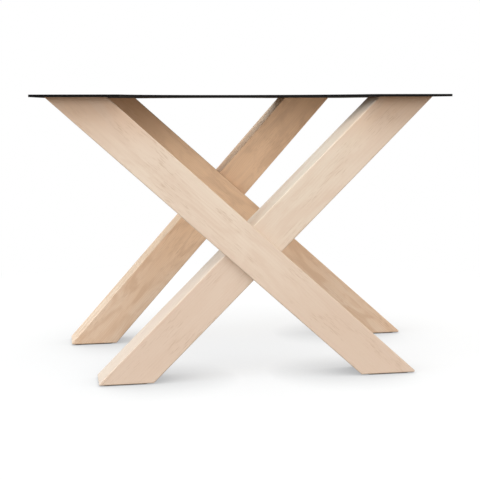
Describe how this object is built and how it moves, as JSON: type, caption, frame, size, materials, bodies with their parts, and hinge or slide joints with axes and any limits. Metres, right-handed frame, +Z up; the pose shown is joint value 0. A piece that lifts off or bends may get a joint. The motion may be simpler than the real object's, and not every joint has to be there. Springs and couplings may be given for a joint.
{
  "type": "x shaped table leg",
  "caption": "Table base of crossed pale wood beams in X frames, standing on mitred feet under a thin black waisted steel plate for a table top.",
  "frame": {"origin": "on the floor, under the middle of the base's bounding box", "axes": "+X along the frames' faces towards the rising beams' heads, +Y from the front frame to the rear frame, +Z up"},
  "size_m": [1.0886, 0.661, 0.726],
  "materials": {
    "pale_wood": "matt oiled",
    "black_plate": "fine satin powder coat",
    "screw_steel": "black oxide",
    "insert_brass": "turned",
    "felt": "pressed felt"
  },
  "bodies": {
    "root": {"front_falling_beam": "pale_wood", "front_rising_beam": "pale_wood", "rear_falling_beam": "pale_wood", "rear_rising_beam": "pale_wood", "top_plate": "black_plate", "plate_screws": "screw_steel", "threaded_inserts": "insert_brass", "foot_pads": "felt"}
  },
  "joints": []
}
